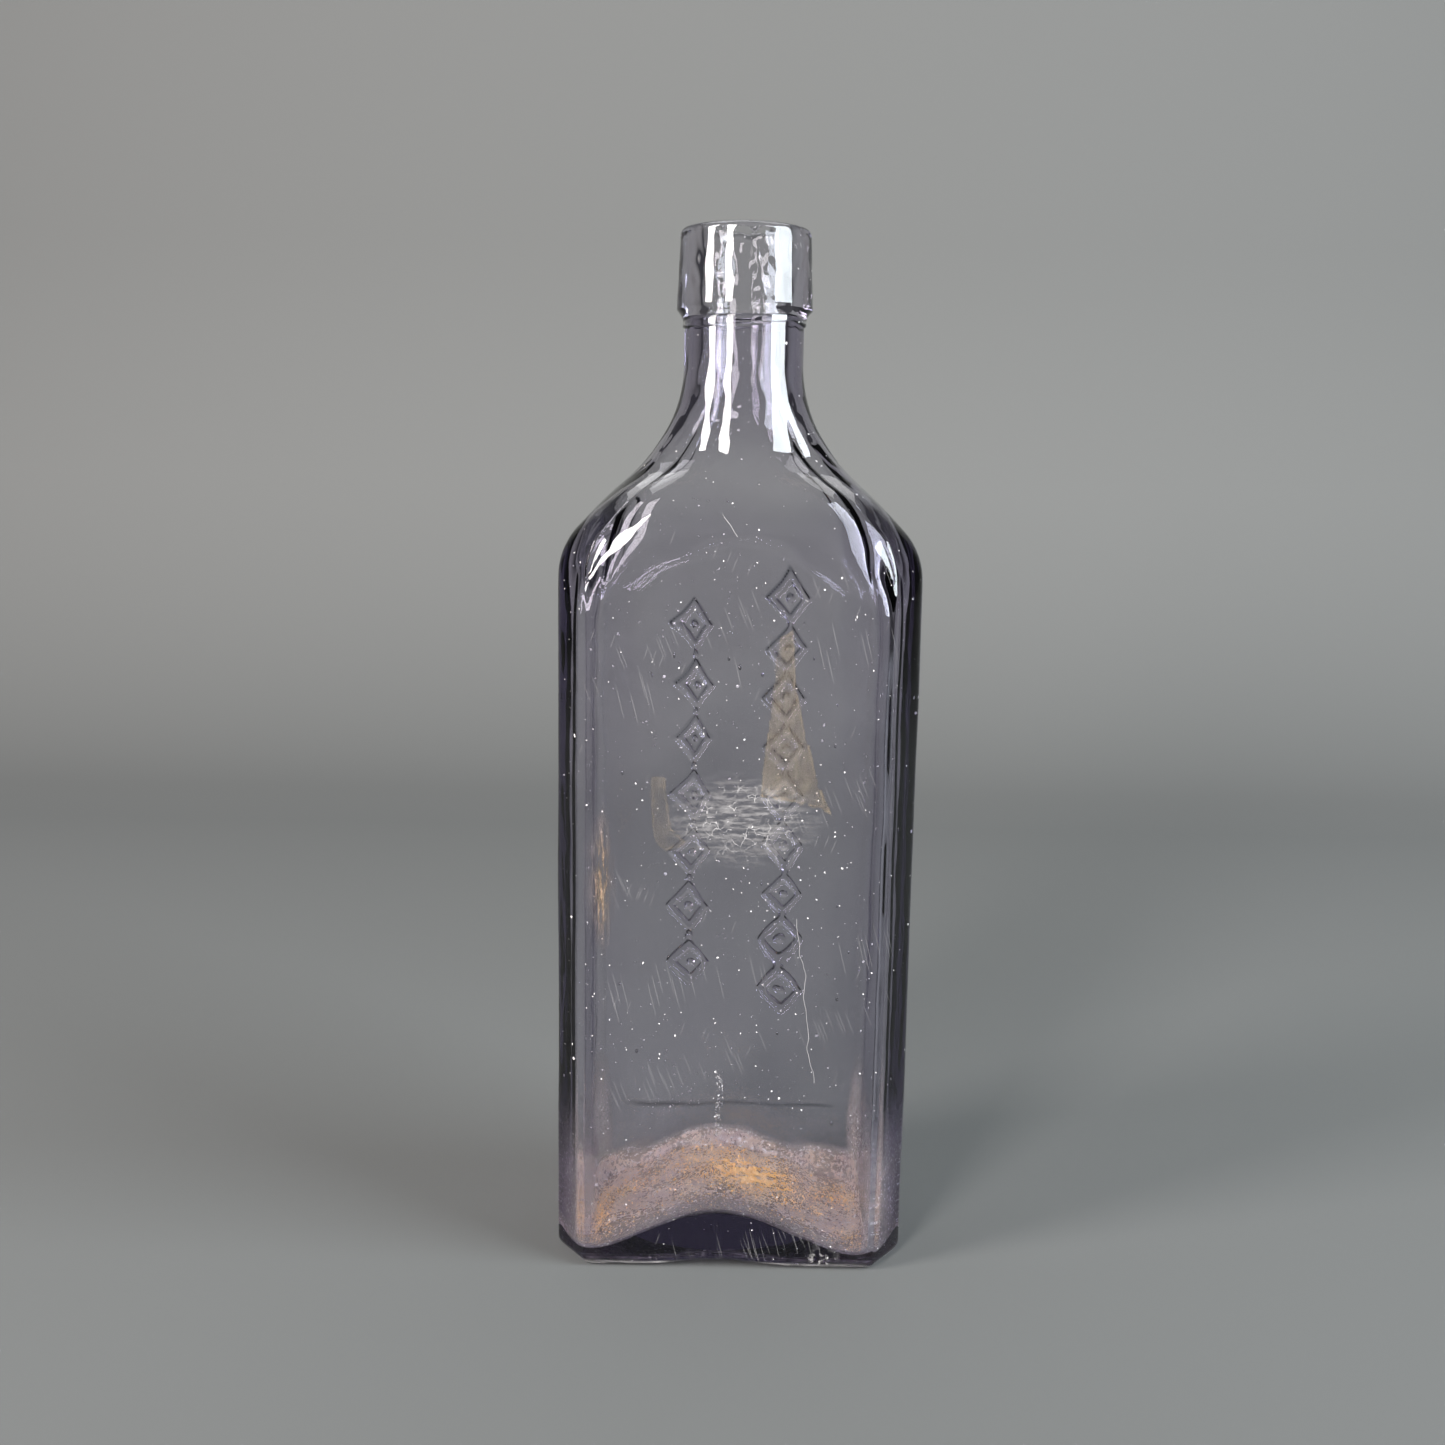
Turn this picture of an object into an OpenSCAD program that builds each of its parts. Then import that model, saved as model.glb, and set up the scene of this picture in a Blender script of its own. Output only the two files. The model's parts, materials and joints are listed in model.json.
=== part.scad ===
// Antique medicine bottle of clear, faintly violet glass: a mould-blown body with bevelled
// corners, an arched sunken panel on the back and a pushed-up floor, a lip that was applied
// to the neck afterwards, and the dried residue that is left inside.
// +Z is up, the broad plain face looks towards -Y, and the origin is on the standing
// surface, under the middle of the body.

/* [Body] */
// Width of the body, side to side
body_w = 80; // [70:1:90]
// Depth of the body, front to back
body_d = 46; // [40:1:54]
// Height at which the sides start to turn in to the shoulders
shoulder_z = 157; // [130:1:170]
// Width that each corner bevel takes off the broad face
bevel_w = 7; // [4:0.5:9]
// Depth that each corner bevel takes off the narrow side
bevel_d = 9.5; // [6:0.5:11]
// Rounding of the heel, where the walls meet the underside
heel_r = 2.6; // [1:0.2:4]
// Thickness of the narrow side walls
side_wall = 4.6; // [2.5:0.1:6]
// Thickness of the broad walls
face_wall = 3.2; // [2.5:0.1:5]

/* [Shoulder] */
// Slope of the shoulders seen from the front, in degrees from upright
shoulder_slope = 40.6; // [30:0.2:50]
// Radius of the shoulders' outward turn, seen from the front
shoulder_r = 16; // [8:1:24]
// Radius of the inward sweep into the neck, seen from the front
sweep_r = 25; // [15:1:30]
// Slope of the broad faces above the body, in degrees from upright
face_slope = 20; // [16:1:26]
// How much lower the broad faces start to turn in at the bevels than in the middle
face_drop = 9; // [0:0.5:12]

/* [Neck and lip] */
// Outside radius of the neck
neck_r = 13.2; // [12:0.1:15]
// Radius of the bore through the neck and the lip
bore_r = 9.2; // [7:0.1:10]
// Height of the neck's top, where the lip sits
neck_top = 213; // [208:0.5:220]
// Height of the lip above the neck
lip_h = 19; // [12:0.5:24]
// Radius of the lip at its lower edge
lip_low_r = 15; // [14.6:0.1:17]
// Radius of the lip at its rim
lip_rim_r = 14.35; // [14:0.05:16]
// Length of the thin skirt of lip glass that laps over the neck
skirt_h = 2.8; // [1:0.2:4]
// Thickness of that skirt
skirt_t = 0.45; // [0.3:0.05:1]

/* [Floor] */
// Thickness of the floor at its low ends
floor_low = 2.2; // [1.6:0.1:5]
// Height of the push-up's crown above the standing surface
floor_high = 12; // [8:0.5:16]
// Distance from the crown to where the push-up runs out
pushup_reach = 34; // [24:1:36]
// How far the crown lies off the middle
pushup_x = -2.5; // [-4:0.5:4]
// Rounding between the floor and the walls
floor_fillet = 2.5; // [2:0.5:6]
// Height of the hollow across the underside
hollow_h = 1.5; // [0:0.1:2]
// Half width of that hollow
hollow_reach = 17; // [10:1:20]

/* [Back panel] */
// Half width of the sunken panel
panel_half_w = 26.8; // [20:0.2:28]
// Height of the panel's lower edge
panel_low = 20.5; // [15:0.5:30]
// Height of the crown of the panel's arched top
panel_crown = 161.5; // [140:0.5:165]
// Rise of that arch
panel_rise = 10.2; // [6:0.2:14]
// Depth that the panel is sunk
panel_sink = 0.7; // [0.3:0.1:1.2]

/* [Residue] */
// Thickness of the dried crust on the floor
crust_t = 0.5; // [0.2:0.1:1]
// Thickness of the dried film on the back wall
film_t = 0.15; // [0.1:0.05:0.4]

/* [Hidden] */
$fn = 96;

around = 72;            // points in each ring of the blown body
shoulder_step = 2;      // height between the rings of the shoulder
heel_steps = 4;         // rings in the heel's rounding
fillet_steps = 4;       // rings in the rounding between floor and wall
panel_edge = 2;         // width of the slope into the sunken panel
outer_power = 90;       // squareness of the body's outer section
inner_power = 24;       // squareness of its inner section
inner_bevel = 0.45;     // size of the body's inner bevels as a share of the outer ones
corner_fade = 6;        // how soon the sections lose their corners up the shoulders
shoulder_thin = 0.45;   // share of the walls' thickness missing halfway up the shoulders
bevel_lead = 9;         // how far below the shoulders the inner bevels start to grow
bevel_grow = 14;        // height in which they grow to their full size
neck_power = 2;         // power that makes a section round
face_turn_z = 162;      // height at which the broad faces start to turn in, in the middle
face_turn_r = 12;       // radius of that turn
face_sweep_r = 40;      // radius of their sweep into the neck
rim_round = 1.6;        // rounding of the rim's outer edge
mouth_round = 1.0;      // rounding of the mouth's inner edge
undercut = 1.2;         // height of the slope under the lip
film_gap = 0.05;        // clearance between the glass and what lies against it

// ---- curves ----

// A half size that stays at `half` up to z1, turns in on radius r1, runs at `slope` degrees
// from upright and sweeps on radius r2 into the neck.
function turn_r(half, slope, r1) = half - r1 * (1 - cos(slope));
function sweep_low_r(slope, r2) = neck_r + r2 * (1 - cos(slope));
function turn_z(z1, slope, r1) = z1 + r1 * sin(slope);
function sweep_low_z(half, z1, slope, r1, r2) =
    turn_z(z1, slope, r1) + (turn_r(half, slope, r1) - sweep_low_r(slope, r2)) / tan(slope);
function sweep_top_z(half, z1, slope, r1, r2) =
    sweep_low_z(half, z1, slope, r1, r2) + r2 * sin(slope);
function shoulder(z, half, z1, slope, r1, r2) =
    z <= z1 ? half
    : z <= turn_z(z1, slope, r1) ? half - r1 + sqrt(pow(r1, 2) - pow(z - z1, 2))
    : z <= sweep_low_z(half, z1, slope, r1, r2)
        ? turn_r(half, slope, r1) - (z - turn_z(z1, slope, r1)) * tan(slope)
    : z <= sweep_top_z(half, z1, slope, r1, r2)
        ? neck_r + r2 - sqrt(pow(r2, 2) - pow(sweep_top_z(half, z1, slope, r1, r2) - z, 2))
    : neck_r;

function half_width(z) =
    shoulder(z, body_w / 2, shoulder_z, shoulder_slope, shoulder_r, sweep_r);
function half_depth(z) =
    shoulder(z, body_d / 2, face_turn_z, face_slope, face_turn_r, face_sweep_r);

// 0 in the body and 1 in the neck
function neckness(z) = (body_w / 2 - half_width(z)) / (body_w / 2 - neck_r);

function mix(a, b, k) = a + (b - a) * k;
function ease(k) = let (q = min(max(k, 0), 1)) q * q * (3 - 2 * q);

// One point of a bevelled rectangle of half sizes a and b. The higher the power, the
// squarer the section: a power of 2 without bevels is an ellipse. Bevel 0 takes the bevels
// away and 1 makes them full, at bevel_size times the size of the body's.
function section_point(angle, a, b, power, bevel, bevel_size) =
    let (
        x = a * cos(angle),
        y = b * sin(angle),
        cut_w = bevel_size * bevel_w * a / (body_w / 2),
        cut_d = bevel_size * bevel_d * b / (body_d / 2),
        reach_x = a + (b - cut_d) * cut_w / cut_d,
        reach_y = reach_x * cut_d / cut_w,
        length = pow(
            pow(abs(cos(angle)), power)
            + pow(abs(sin(angle)), power)
            + bevel * pow(abs(x) / reach_x + abs(y) / reach_y, power),
            1 / power
        )
    )
    [x / length, y / length];

// The line where the broad faces turn in is an arch: this is how far it has dropped
function arch_drop(angle) =
    let (
        across = abs(cos(angle)) / max(abs(sin(angle)), 0.01),
        share = min(across * body_w / (body_w - 2 * bevel_w), 1)
    )
    face_drop * (1 - sqrt(1 - pow(share, 4)));

function section(z, inset_w, inset_d, sharpest, bevel_size) =
    let (
        k = neckness(z),
        power = min(mix(neck_power, outer_power, pow(1 - k, corner_fade)), sharpest)
    )
    [for (i = [0 : around - 1])
        let (angle = i * 360 / around)
        section_point(
            angle,
            half_width(z) - inset_w,
            half_depth(z + arch_drop(angle)) - inset_d,
            power,
            1 - k,
            bevel_size
        )];

// ---- outside of the body ----

// Height of the panel's arched top above a point of the back face
function panel_arch(x) =
    let (r = (pow(panel_half_w, 2) + pow(panel_rise, 2)) / (2 * panel_rise))
    panel_crown - r + sqrt(max(pow(r, 2) - x * x, 0));

// How far the panel sinks the back face at a point
function panel_depth(x, z) =
    panel_sink * ease(min(panel_half_w - abs(x), z - panel_low, panel_arch(x) - z) / panel_edge);

// Height of the hollow that crosses the underside from front to back
function hollow(x) =
    let (k = abs(x - pushup_x) / hollow_reach)
    k < 1 ? hollow_h * pow(1 - k * k, 2) : 0;

function outer_ring(z, inset = 0) =
    [for (p = section(z, inset, inset, outer_power, 1))
        let (sunk = p.y > 0 ? p.y - panel_depth(p.x, z) : p.y)
        [p.x, sunk, z + hollow(p.x) * max(1 - z / (3 * heel_r), 0)]];

function underside_ring(share) =
    [for (p = section(0, heel_r, heel_r, outer_power, 1))
        [p.x * share, p.y * share, hollow(p.x * share)]];

// ---- inside of the body ----

function inner_section(z) =
    let (
        k = neckness(z),
        left = 1 - shoulder_thin * sin(180 * k),
        neck_wall = neck_r - bore_r,
        shoulder_share = ease((z - shoulder_z + bevel_lead) / bevel_grow)
    )
    section(
        z,
        left * mix(side_wall, neck_wall, k),
        left * mix(face_wall, neck_wall, k),
        inner_power,
        mix(inner_bevel, 1, shoulder_share)
    );

function inner_ring(z) = [for (p = inner_section(z)) [p.x, p.y, z]];

function floor_z(x) =
    floor_low
    + (floor_high - floor_low) * pow(cos(90 * min(abs(x - pushup_x) / pushup_reach, 1)), 2);

// A ring of the rounding between floor and wall; angle 0 is on the floor, 90 on the wall
function fillet_ring(angle, lift = 0) =
    let (back = floor_fillet * (1 - sin(angle)))
    [for (p = inner_section(0))
        let (share = 1 - back / norm(p))
        [p.x * share, p.y * share,
         floor_z(p.x * share) + floor_fillet * (1 - cos(angle)) + lift]];

function floor_ring(share, lift = 0) =
    let (edge = fillet_ring(0))
    [for (p = edge) [p.x * share, p.y * share, floor_z(p.x * share) + lift]];

// ---- skins ----

// A closed solid from rings of equal length, closed by a point at each end
module skin(rings, first, last) {
    n = len(rings[0]);
    m = len(rings);
    points = concat([first], [for (ring = rings) each ring], [last]);
    walls = [for (j = [0 : m - 2], i = [0 : n - 1])
        let (a = 1 + j * n + i, b = 1 + j * n + (i + 1) % n)
        each [[a, b + n, b], [a, a + n, b + n]]];
    start = [for (i = [0 : n - 1]) [0, 1 + i, 1 + (i + 1) % n]];
    end = [for (i = [0 : n - 1])
        [m * n + 1, 1 + (m - 1) * n + (i + 1) % n, 1 + (m - 1) * n + i]];
    polyhedron(points, concat(start, walls, end));
}

// ---- parts ----

module glass_body() {
    sweep_top = sweep_top_z(body_w / 2, shoulder_z, shoulder_slope, shoulder_r, sweep_r);
    shoulder_heights =
        [for (z = [shoulder_z - bevel_lead : shoulder_step : sweep_top + 1]) z];
    panel_heights = [for (k = [0 : 0.5 : 1]) panel_low + k * panel_edge];
    floor_shares = [for (k = [0.25 : 0.25 : 1]) k];
    rings = concat(
        [for (share = floor_shares) underside_ring(share)],
        [for (i = [1 : heel_steps])
            let (angle = 90 * i / heel_steps)
            outer_ring(heel_r * (1 - cos(angle)), heel_r * (1 - sin(angle)))],
        [for (z = concat(panel_heights, shoulder_heights, [neck_top])) outer_ring(z)],
        [for (i = [0 : len(shoulder_heights)])
            inner_ring(i == 0 ? neck_top : shoulder_heights[len(shoulder_heights) - i])],
        [for (i = [0 : fillet_steps]) fillet_ring(90 * (1 - i / fillet_steps))],
        [for (share = [0.75 : -0.25 : 0.25]) floor_ring(share)]
    );
    color([0.80, 0.76, 0.84, 0.45])
        skin(rings, [0, 0, hollow(0)], [0, 0, floor_z(0)]);
}

// The lip: a tall collar, slightly wider at its lower edge, with a soft rim
module applied_lip() {
    rim_z = neck_top + lip_h;
    color([0.82, 0.76, 0.82, 0.5])
        rotate_extrude() {
            polygon([
                [bore_r, neck_top],
                [neck_r + film_gap, neck_top],
                [neck_r + film_gap, neck_top - skirt_h],
                [neck_r + skirt_t, neck_top - skirt_h],
                [neck_r + skirt_t, neck_top],
                [lip_low_r, neck_top + undercut],
                [lip_rim_r, rim_z - rim_round],
                [lip_rim_r - rim_round, rim_z - rim_round],
                [lip_rim_r - rim_round, rim_z],
                [bore_r + mouth_round, rim_z],
                [bore_r + mouth_round, rim_z - mouth_round],
                [bore_r, rim_z - mouth_round]
            ]);
            translate([lip_rim_r - rim_round, rim_z - rim_round]) circle(rim_round);
            translate([bore_r + mouth_round, rim_z - mouth_round]) circle(mouth_round);
        }
}

// The crust that has dried on the floor, following the push-up
module floor_residue() {
    low = film_gap;
    high = film_gap + crust_t;
    shares = [0.3, 0.6, 0.85];
    rings = concat(
        [for (share = shares) floor_ring(share, low)],
        [fillet_ring(15, low), fillet_ring(15, high)],
        [for (i = [len(shares) - 1 : -1 : 0]) floor_ring(shares[i], high)]
    );
    color([0.72, 0.58, 0.42])
        skin(rings, [0, 0, floor_z(0) + low], [0, 0, floor_z(0) + high]);
}

// Two thin stains that have dried on the inside of the back wall
module wall_residue() {
    wall_y = body_d / 2 - face_wall - 2 * film_gap;
    color([0.70, 0.60, 0.42, 0.6]) {
        translate([0, wall_y, 0])
            rotate([90, 0, 0])
                linear_extrude(film_t)
                    polygon([[7, 106], [9, 131], [14, 134], [19, 121], [23, 106]]);
        translate([0, wall_y, 0])
            rotate([90, 0, 0])
                linear_extrude(film_t)
                    polygon([[-20, 96], [-21, 112], [-17, 112], [-15, 100], [-11, 95], [-17, 93]]);
    }
}

glass_body();
applied_lip();
floor_residue();
wall_residue();
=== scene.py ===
import json
import math

import bpy
import numpy as np
from mathutils import Matrix, Vector


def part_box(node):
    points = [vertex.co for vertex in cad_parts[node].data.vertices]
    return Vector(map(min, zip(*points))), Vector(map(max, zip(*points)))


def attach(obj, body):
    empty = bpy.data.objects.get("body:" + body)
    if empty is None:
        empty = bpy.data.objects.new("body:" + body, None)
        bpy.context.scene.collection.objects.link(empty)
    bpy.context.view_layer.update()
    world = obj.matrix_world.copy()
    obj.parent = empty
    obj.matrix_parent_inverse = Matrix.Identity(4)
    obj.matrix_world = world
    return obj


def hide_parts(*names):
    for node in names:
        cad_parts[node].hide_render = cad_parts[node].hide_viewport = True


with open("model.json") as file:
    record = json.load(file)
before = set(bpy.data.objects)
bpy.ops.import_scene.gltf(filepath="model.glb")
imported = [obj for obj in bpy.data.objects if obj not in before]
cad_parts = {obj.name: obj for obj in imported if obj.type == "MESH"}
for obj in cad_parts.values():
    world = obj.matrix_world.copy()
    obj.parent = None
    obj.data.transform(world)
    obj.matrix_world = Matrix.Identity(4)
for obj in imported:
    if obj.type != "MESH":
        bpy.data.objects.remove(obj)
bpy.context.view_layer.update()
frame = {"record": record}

# An antique medicine bottle of clear, faintly violet glass. The shapes follow the CAD part;
# here they get the glass-maker's ripples, a raised ornament, seeds, dust, scratches and the
# dried deposit inside. Lengths are in millimetres until a mesh is made.

MM = 0.001

# ---------------------------------------------------------------- sizes from the frame

BODY_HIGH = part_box("glass_body")[1] / MM
LIP_LOW, LIP_HIGH = (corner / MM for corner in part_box("applied_lip"))
NECK_TOP = BODY_HIGH.z
RIM_Z = LIP_HIGH.z
SKIRT_LOW = LIP_LOW.z
LIP_LOW_R = LIP_HIGH.x
BORE_R = frame["record"]["mounts"][0]["dims"]["r_mm"]

# ---------------------------------------------------------------- sizes as in the CAD part

HALF_W, HALF_D = 40.0, 23.0
BEVEL_W, BEVEL_D = 7.0, 9.5
HEEL_R = 2.6
SIDE_WALL, FACE_WALL = 4.6, 3.2
SHOULDER_Z, SHOULDER_SLOPE, SHOULDER_R, SWEEP_R = 157.0, 40.6, 16.0, 25.0
FACE_TURN_Z, FACE_SLOPE, FACE_TURN_R, FACE_SWEEP_R = 162.0, 20.0, 12.0, 40.0
FACE_DROP = 9.0
NECK_R = 13.2
LIP_RIM_R, RIM_ROUND, MOUTH_ROUND, UNDERCUT = 14.35, 1.6, 1.0, 1.2
SKIRT_T = 0.45
FLOOR_LOW, FLOOR_HIGH = 2.2, 12.0
PUSHUP_REACH, PUSHUP_X = 34.0, -2.5
FLOOR_FILLET = 2.5
HOLLOW_H, HOLLOW_REACH = 1.5, 17.0
PANEL_HALF_W, PANEL_LOW, PANEL_CROWN, PANEL_RISE = 26.8, 20.5, 161.5, 10.2
PANEL_SINK, PANEL_EDGE = 0.7, 2.0
OUTER_POWER, INNER_POWER, NECK_POWER = 90.0, 24.0, 2.0
INNER_BEVEL, BEVEL_LEAD, BEVEL_GROW = 0.45, 9.0, 14.0
CORNER_FADE = 6
SHOULDER_THIN = 0.45
LEAN = 0.55             # how far the cavity sits to the left, which thins the left wall
GLASS_GAP = 0.02        # air between body and lip, so that no two faces lie in one plane


# ---------------------------------------------------------------- curves

def ease(k):
    k = np.clip(k, 0, 1)
    return k * k * (3 - 2 * k)


def mix(a, b, k):
    return a + (b - a) * k


def shoulder(z, half, turn_from, slope_deg, turn_r, sweep_r):
    """A half size that turns in at turn_from, runs at a slope and sweeps into the neck."""
    slope = math.radians(slope_deg)
    z = np.asarray(z, float)
    turned = half - turn_r * (1 - math.cos(slope))
    turned_z = turn_from + turn_r * math.sin(slope)
    swept = NECK_R + sweep_r * (1 - math.cos(slope))
    swept_z = turned_z + (turned - swept) / math.tan(slope)
    top_z = swept_z + sweep_r * math.sin(slope)
    turn = half - turn_r + np.sqrt(np.maximum(turn_r**2 - (z - turn_from) ** 2, 0))
    run = turned - (z - turned_z) * math.tan(slope)
    sweep = NECK_R + sweep_r - np.sqrt(np.maximum(sweep_r**2 - (top_z - z) ** 2, 0))
    stages = [z <= turn_from, z <= turned_z, z <= swept_z, z <= top_z]
    return np.select(stages, [half, turn, run, sweep], NECK_R)


def half_width(z):
    return shoulder(z, HALF_W, SHOULDER_Z, SHOULDER_SLOPE, SHOULDER_R, SWEEP_R)


def half_depth(z):
    return shoulder(z, HALF_D, FACE_TURN_Z, FACE_SLOPE, FACE_TURN_R, FACE_SWEEP_R)


def arch_drop(angle):
    """How far the arched line where the broad faces turn in has dropped."""
    across = np.abs(np.cos(angle)) / np.maximum(np.abs(np.sin(angle)), 0.01)
    share = np.minimum(across * HALF_W / (HALF_W - BEVEL_W), 1)
    return FACE_DROP * (1 - np.sqrt(1 - share**4))


def section(angle, z, inset_w, inset_d, sharpest, bevel_size=1.0):
    """Points of a bevelled rectangle that becomes round towards the neck."""
    neckness = (HALF_W - half_width(z)) / (HALF_W - NECK_R)
    a = half_width(z) - inset_w
    b = half_depth(z + arch_drop(angle)) - inset_d
    power = np.minimum(mix(NECK_POWER, OUTER_POWER, (1 - neckness) ** CORNER_FADE), sharpest)
    x, y = a * np.cos(angle), b * np.sin(angle)
    cut_w, cut_d = bevel_size * BEVEL_W * a / HALF_W, bevel_size * BEVEL_D * b / HALF_D
    reach_x = a + (b - cut_d) * cut_w / cut_d
    reach_y = reach_x * cut_d / cut_w
    bevel = (np.abs(x) / reach_x + np.abs(y) / reach_y) ** power
    flat = np.abs(np.cos(angle)) ** power + np.abs(np.sin(angle)) ** power
    length = (flat + (1 - neckness) * bevel) ** (1 / power)
    return x / length, y / length


def panel_depth(x, z):
    """How deep the arched panel is sunk into the back."""
    radius = (PANEL_HALF_W**2 + PANEL_RISE**2) / (2 * PANEL_RISE)
    arch = PANEL_CROWN - radius + np.sqrt(np.maximum(radius**2 - x**2, 0))
    inside = np.minimum(np.minimum(PANEL_HALF_W - np.abs(x), z - PANEL_LOW), arch - z)
    return PANEL_SINK * ease(inside / PANEL_EDGE)


def hollow(x):
    """Height of the hollow in the underside."""
    k = np.abs(x - PUSHUP_X) / HOLLOW_REACH
    return HOLLOW_H * np.maximum(1 - k * k, 0) ** 2


def floor_z(x):
    """Height of the pushed-up inner floor, without its bumps."""
    k = np.minimum(np.abs(x - PUSHUP_X) / PUSHUP_REACH, 1)
    return FLOOR_LOW + (FLOOR_HIGH - FLOOR_LOW) * np.cos(math.pi / 2 * k) ** 2


# ---------------------------------------------------------------- raised ornament

LOZENGE_W, LOZENGE_H = 4.3, 5.0     # half sizes
STROKE = 0.75                       # half width of the raised line
BEAD_R = 0.85
RELIEF = 0.85
# column: x of its middle, lowest and highest lozenge, how many
COLUMNS = [(-10.6, 59.0, 143.0, 7), (11.9, 52.0, 150.0, 9)]


def bump(distance, half):
    """1 on a line or bead of a half width, falling to 0 round its edge."""
    return ease((half + 0.35 - distance) / 0.7)


def ornament(x, z):
    """Two columns of hollow lozenges with a bead in and between them."""
    height = np.zeros_like(x)
    for middle, low, high, count in COLUMNS:
        pitch = (high - low) / (count - 1)
        for i in range(count):
            u, v = x - middle, z - (low + i * pitch)
            reach = np.abs(u) / LOZENGE_W + np.abs(v) / LOZENGE_H
            line = np.abs(reach - 1) * LOZENGE_W * LOZENGE_H / math.hypot(LOZENGE_W, LOZENGE_H)
            height = np.maximum(height, bump(line, STROKE))
            height = np.maximum(height, bump(np.hypot(u, v), BEAD_R))
            if i < count - 1:
                height = np.maximum(height, bump(np.hypot(u, v - pitch / 2), BEAD_R * 0.8))
    return RELIEF * height


# ---------------------------------------------------------------- ripples

def waves(rng, count, length_x, length_z, size):
    """Sums of sine waves: lengths along the wall and up it, and the largest height."""
    heading = rng.uniform(0, 2 * math.pi, count)
    across = 2 * math.pi / rng.uniform(*length_x, count)
    up = 2 * math.pi / rng.uniform(*length_z, count) * rng.choice([-1, 1], count)
    phase = rng.uniform(0, 2 * math.pi, count)
    heights = size * rng.uniform(0.4, 1, count) / math.sqrt(count)
    vectors = np.stack([across * np.cos(heading), across * np.sin(heading), up], 1)
    return vectors, phase, heights


def ripple(points, wave_set):
    """The height of a set of waves at each point."""
    vectors, phase, heights = wave_set
    return (np.sin(points @ vectors.T + phase) * heights).sum(1)


# ---------------------------------------------------------------- meshes

def mesh_object(name, points, faces, material, smooth_deg=40.0):
    mesh = bpy.data.meshes.new(name)
    mesh.from_pydata((np.asarray(points) * MM).tolist(), [], faces)
    mesh.polygons.foreach_set("use_smooth", [True] * len(mesh.polygons))
    mesh.set_sharp_from_angle(angle=math.radians(smooth_deg))
    mesh.materials.append(material)
    piece = bpy.data.objects.new(name, mesh)
    bpy.context.scene.collection.objects.link(piece)
    return piece


def skin(rings, first, last):
    """Points and faces of a closed solid from equal rings, closed by a point at each end."""
    m, n = rings.shape[:2]
    points = np.concatenate([[first], rings.reshape(-1, 3), [last]])
    j, i = np.meshgrid(np.arange(m - 1), np.arange(n), indexing="ij")
    a, b = 1 + j * n + i, 1 + j * n + (i + 1) % n
    walls = np.stack([a, b, b + n, a + n], -1).reshape(-1, 4).tolist()
    around = np.arange(n)
    start = np.stack([0 * around, 1 + (around + 1) % n, 1 + around], 1).tolist()
    base = 1 + (m - 1) * n
    end = np.stack([0 * around + m * n + 1, base + around, base + (around + 1) % n], 1).tolist()
    return points, start + walls + end


def point_normals(points, faces):
    """Vertex normals, weighted by the area of the faces round each point."""
    normals = np.zeros_like(points)
    for size in (3, 4):
        flat = np.array([f for f in faces if len(f) == size], int).reshape(-1, size)
        corner = points[flat]
        turn = np.cross(corner[:, 2] - corner[:, 0], corner[:, -1] - corner[:, 1])
        for k in range(size):
            np.add.at(normals, flat[:, k], turn)
    return normals / np.maximum(np.linalg.norm(normals, axis=1, keepdims=True), 1e-12)


def patch(low, high, keep):
    """A closed thin solid over the kept cells of a grid of lower and upper points."""
    rows, columns = keep.shape
    number = np.arange((rows + 1) * (columns + 1)).reshape(rows + 1, columns + 1)
    up = number.size
    faces = []
    for i, j in np.argwhere(keep):
        a, b, c, d = number[i, j], number[i + 1, j], number[i + 1, j + 1], number[i, j + 1]
        faces += [(a + up, b + up, c + up, d + up), (d, c, b, a)]
        sides = ((a, b, i, j - 1), (b, c, i + 1, j), (c, d, i, j + 1), (d, a, i - 1, j))
        for start, end, row, column in sides:
            inside = 0 <= row < rows and 0 <= column < columns
            if not (inside and keep[row, column]):
                faces.append((start, end, end + up, start + up))
    used, numbers = np.unique(np.array(faces), return_inverse=True)
    points = np.concatenate([low.reshape(-1, 3), high.reshape(-1, 3)])[used]
    return points, numbers.reshape(-1, 4).tolist()


# ---------------------------------------------------------------- glass body

RING_POINTS = 216
ORNAMENT_DENSITY, CORNER_DENSITY = 3.8, 6       # extra points where the shape is finer
STRAIGHT_TOP = 146.0                            # up to here the inner wall is straight
# rings of the outer wall as (from, to, step): closest at the panel's lower edge and across
# the ornament
WALL_SPANS = [(3.4, 19.6, 1.8), (19.6, 23.6, 0.5), (23.6, 46, 2.4), (46, 156, 0.5),
              (156, 170, 0.8), (170, NECK_TOP, 1.2)]


def spread_angles(count):
    """Angles of a ring's points: closest together at the corners and across the ornament."""
    angle = np.linspace(0, 2 * math.pi, 14400, endpoint=False)
    x, y = section(angle, np.zeros_like(angle), 0, 0, OUTER_POWER)
    dx, dy = np.diff(x, append=x[0]), np.diff(y, append=y[0])
    turning = np.abs(np.diff(np.unwrap(np.arctan2(dy, dx)), append=0))
    turning[-1] = 0
    columns = [np.abs(x - middle) < LOZENGE_W + 1.5 for middle, *_ in COLUMNS]
    across_ornament = (y > 0.9 * HALF_D) & np.any(columns, axis=0)
    density = np.where(across_ornament, ORNAMENT_DENSITY, 1)
    along = np.cumsum(np.hypot(dx, dy) * density + CORNER_DENSITY * turning)
    return np.interp(np.arange(count) / count * along[-1], along - along[0], angle)


ANGLES = spread_angles(RING_POINTS)


def outer_ring(z, inset=0.0):
    """A ring of the outer wall, with the sunken panel and its ornament on the back."""
    x, y = section(ANGLES, z, inset, inset, OUTER_POWER)
    back = np.where(y > 0, ornament(x, z) - panel_depth(x, z), 0)
    return np.stack([x, y + back, z + hollow(x) * max(1 - z / (3 * HEEL_R), 0)], -1)


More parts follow.
